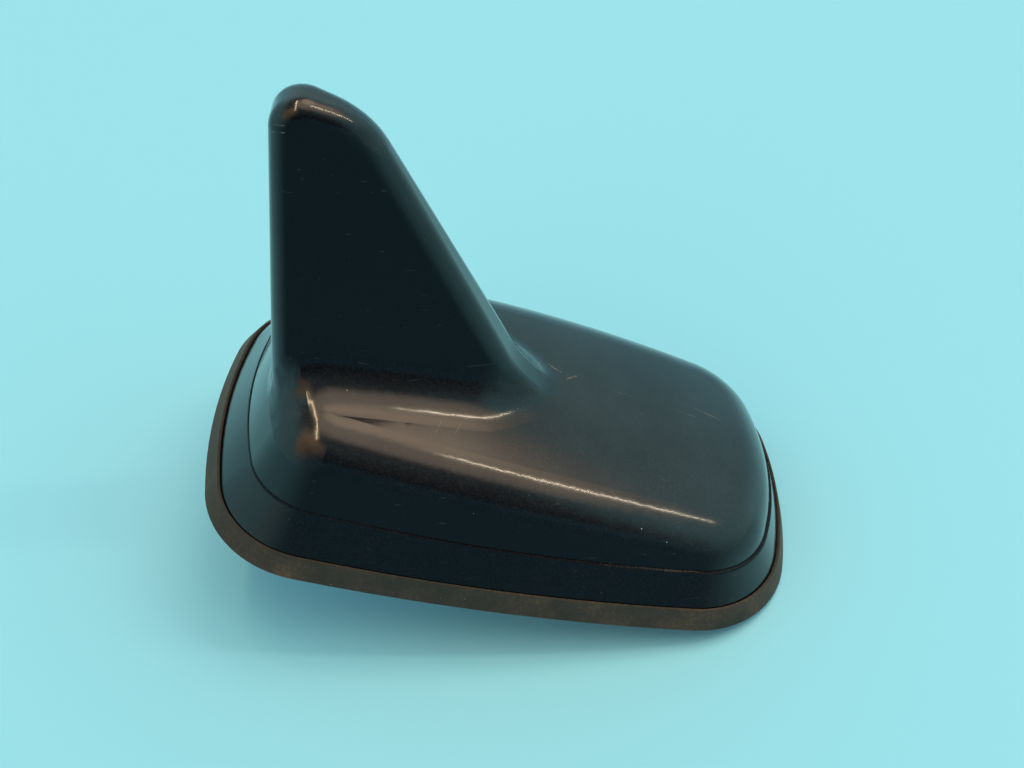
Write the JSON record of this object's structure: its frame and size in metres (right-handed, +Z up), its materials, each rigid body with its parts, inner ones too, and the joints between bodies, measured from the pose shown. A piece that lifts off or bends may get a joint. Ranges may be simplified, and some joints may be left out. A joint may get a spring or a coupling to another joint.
{
  "type": "shark fin aerial",
  "caption": "Car roof aerial: a raked fin on a rounded black cover, with a rubber gasket, a cast base plate and a hollow fixing stud that holds the coax sockets.",
  "frame": {"origin": "where the axis of the fixing stud meets the roof, level with the gasket's underside", "axes": "+X forward to the nose, +Y to the left, +Z up out of the roof"},
  "size_m": [0.1054, 0.0658, 0.081],
  "materials": {
    "cover": "semi-gloss black moulding with fine scratches and dust",
    "gasket": "matte black rubber, dusty brown",
    "seal": "matte black rubber",
    "casting": "as die cast",
    "steel": "zinc plated",
    "board": "green lacquer",
    "pad": "adhesive pad",
    "ceramic": "unglazed",
    "silver": "plated",
    "tin": "bright tin",
    "chip": "matte",
    "small_part": "matte",
    "copper": "gold plated",
    "insert": "matte",
    "insulator": "white"
  },
  "bodies": {
    "root": {"cover": "cover", "roof_gasket": "gasket", "stud_seal": "seal", "base_plate": "casting", "cover_screws": "steel", "board_screws": "steel", "main_board": "board", "fin_board": "board", "patch_pad": "pad", "patch_ceramic": "ceramic", "patch_electrode": "silver", "patch_pin": "tin", "shield_can": "tin", "amplifier_chips": "chip", "board_parts": "small_part", "fin_board_holder": "insert", "fin_contacts": "copper", "fin_track": "copper", "socket_insert": "insert", "socket_tubes": "copper", "socket_insulators": "insulator", "socket_pins": "copper"}
  },
  "joints": []
}
